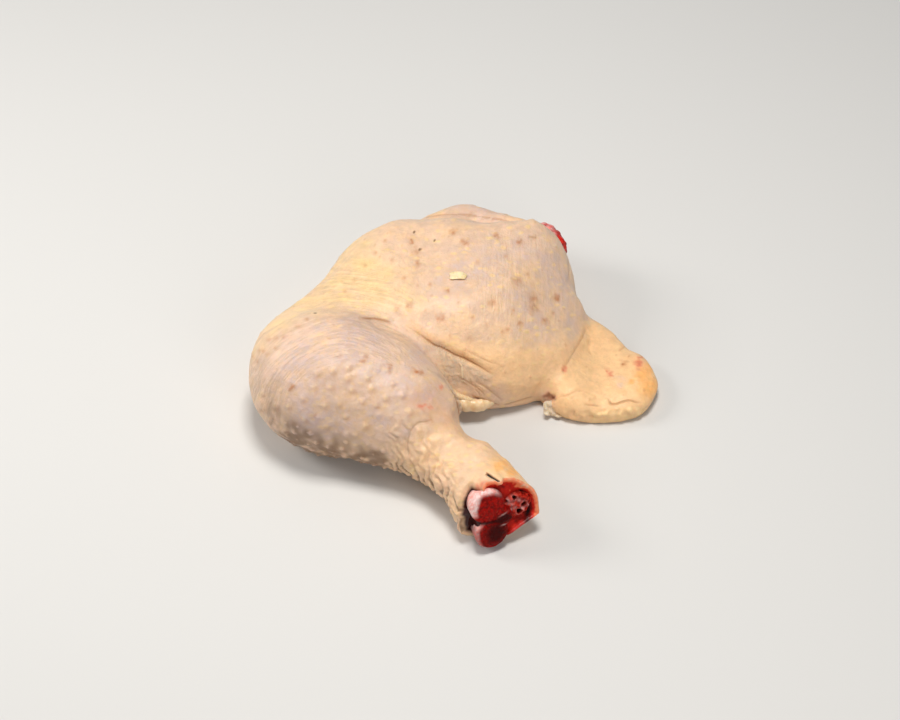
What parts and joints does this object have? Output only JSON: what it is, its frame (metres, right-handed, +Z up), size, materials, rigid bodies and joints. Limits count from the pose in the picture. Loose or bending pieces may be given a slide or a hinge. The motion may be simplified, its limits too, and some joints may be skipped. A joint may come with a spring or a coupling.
{
  "type": "raw chicken leg quarter",
  "caption": "Raw chicken leg with thigh and drumstick in one skin, folded at the knee, cut at the hock, lying flat.",
  "frame": {"origin": "middle of the leg's box, on the surface it lies on", "axes": "+Z up, +Y from the cut hock towards the thigh's back edge, +X towards the flap of skin"},
  "size_m": [0.1518, 0.156, 0.0479],
  "materials": {
    "leg": "moist raw skin",
    "shin_bone": "wet cut bone end",
    "tendons": "wet cut tendon",
    "hip_flesh": "wet raw flesh"
  },
  "bodies": {
    "root": {"leg": "leg", "shin_bone": "shin_bone", "tendons": "tendons", "hip_flesh": "hip_flesh"}
  },
  "joints": []
}
